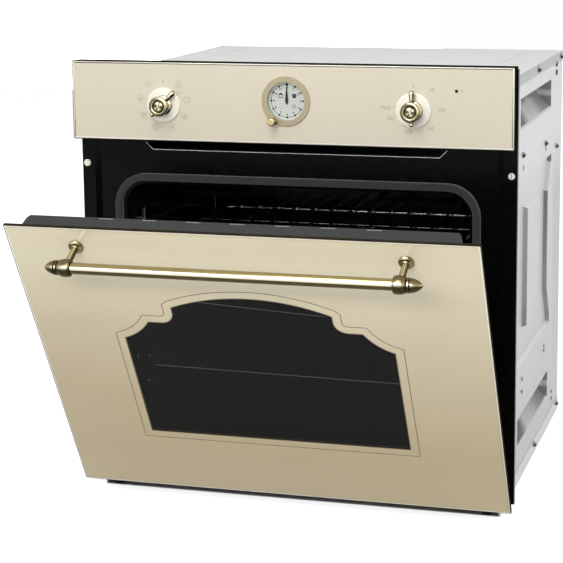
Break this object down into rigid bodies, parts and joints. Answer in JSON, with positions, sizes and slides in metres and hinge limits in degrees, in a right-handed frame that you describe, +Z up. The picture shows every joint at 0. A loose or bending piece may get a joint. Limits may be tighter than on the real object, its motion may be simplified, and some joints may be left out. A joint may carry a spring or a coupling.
{
  "type": "built-in oven",
  "caption": "Built-in electric oven with drop-down glass door, bar handle, two lever knobs and a round timer.",
  "frame": {"origin": "centre of the underside of the base plate, on which the oven rests", "axes": "+X to the right seen from the front, +Y into the oven towards its back, +Z up"},
  "size_m": [0.595, 0.8239, 0.595],
  "materials": {
    "galvanised": "dull zinc coat",
    "black_enamel": "satin",
    "cavity_enamel": "gloss enamel",
    "zinc_steel": "zinc plated",
    "cream_plastic": "gloss",
    "gasket_braid": "braided glass fibre",
    "glass_wool": "glass wool",
    "ivory_glass": "gloss, enamelled on the back",
    "ivory_print": "enamel layer",
    "window_glass": "gloss",
    "clear_glass": "gloss",
    "bracket_steel": "zinc plated",
    "pilot_lens": "gloss",
    "switch_plastic": "satin",
    "copper_probe": "bare copper",
    "beige_enamel": "satin",
    "dial_white": "matt",
    "chromed_wire": "bright",
    "heater_steel": "oxidised",
    "motor_steel": "bare",
    "fan_steel": "bare",
    "ceramic": "glazed",
    "gland_plastic": "satin",
    "rail_aluminium": "dark coat",
    "antique_brass": "polished, aged",
    "hand_black": "gloss"
  },
  "bodies": {
    "cabinet": {"side_panel_left": "galvanised", "side_panel_right": "galvanised", "carry_pockets": "galvanised", "top_cover": "galvanised", "base_plate": "galvanised", "rear_panel": "galvanised", "front_frame": "black_enamel", "casing_screws": "zinc_steel", "fixing_screws": "zinc_steel", "fixing_screw_cap": "cream_plastic", "cavity_liner": "cavity_enamel", "cavity_gasket": "gasket_braid", "insulation": "glass_wool", "cooling_deck": "galvanised", "fascia_glass": "ivory_glass", "fascia_backing": "bracket_steel", "pilot_lamp": "pilot_lens", "function_switch": "switch_plastic", "thermostat": "switch_plastic", "thermostat_probe": "copper_probe", "timer_bezel": "beige_enamel", "timer_dial": "dial_white", "timer_glass": "clear_glass", "timer_movement": "switch_plastic", "shelf_racks": "chromed_wire", "grill_element": "heater_steel", "floor_heater": "heater_steel", "ring_heater": "heater_steel", "fan_baffle": "cavity_enamel", "fan_motor": "motor_steel", "lamp_holder": "ceramic", "lamp_bulb": "clear_glass", "lamp_lens": "clear_glass", "air_duct": "galvanised", "blower_housing": "galvanised", "terminal_block": "ceramic", "cable_gland": "gland_plastic", "hinge_cassettes": "zinc_steel"},
    "door": {"door_outer_glass": "window_glass", "door_print": "ivory_print", "door_middle_glass": "clear_glass", "door_inner_glass": "clear_glass", "door_top_rail": "rail_aluminium", "door_bottom_rail": "rail_aluminium", "door_side_rails": "rail_aluminium", "hinge_arms": "zinc_steel", "handle_bar": "antique_brass", "handle_ends": "antique_brass", "handle_posts": "antique_brass", "handle_screws": "zinc_steel"},
    "function_knob": {"function_knob_skirt": "cream_plastic", "function_knob_hub": "antique_brass"},
    "thermostat_knob": {"thermostat_knob_skirt": "cream_plastic", "thermostat_knob_hub": "antique_brass"},
    "timer_button": {"timer_knob": "antique_brass"},
    "timer_pointer": {"timer_hand": "hand_black"},
    "convection_fan": {"fan_impeller": "fan_steel"},
    "cooling_drum": {"blower_rotor": "fan_steel"},
    "shelf": {"wire_shelf": "chromed_wire"},
    "tray": {"baking_tray": "cavity_enamel"}
  },
  "joints": [
    {"name": "door_hinge", "type": "hinge", "parent": "cabinet", "child": "door", "pos_m": [0, -0.2705, 0.03], "axis": [1, 0, 0], "range_deg": [-30, 60]},
    {"name": "function_turn", "type": "hinge", "parent": "cabinet", "child": "function_knob", "pos_m": [-0.168, -0.2955, 0.538], "axis": [0, 1, 0], "continuous": true},
    {"name": "thermostat_turn", "type": "hinge", "parent": "cabinet", "child": "thermostat_knob", "pos_m": [0.168, -0.2955, 0.538], "axis": [0, 1, 0], "range_deg": [0, 280]},
    {"name": "timer_turn", "type": "hinge", "parent": "cabinet", "child": "timer_button", "pos_m": [-0.016, -0.2955, 0.52069], "axis": [0, 1, 0], "range_deg": [-330, 0]},
    {"name": "timer_hand_turn", "type": "hinge", "parent": "cabinet", "child": "timer_pointer", "pos_m": [0, -0.2955, 0.5463], "axis": [0, 1, 0], "range_deg": [0, 330]},
    {"name": "fan_spin", "type": "hinge", "parent": "cabinet", "child": "convection_fan", "pos_m": [0, 0.1295, 0.25], "axis": [0, 1, 0], "continuous": true},
    {"name": "cooling_fan_spin", "type": "hinge", "parent": "cabinet", "child": "cooling_drum", "pos_m": [0, -0.0955, 0.514], "axis": [1, 0, 0], "continuous": true},
    {"name": "shelf_slide", "type": "slide", "parent": "cabinet", "child": "shelf", "axis": [0, -1, 0], "range_m": [0, 0.03]},
    {"name": "tray_slide", "type": "slide", "parent": "cabinet", "child": "tray", "axis": [0, -1, 0], "range_m": [0, 0.03]}
  ],
  "couplings": [
    {"joint": "timer_hand_turn", "follows": "timer_turn", "ratio": -1}
  ]
}
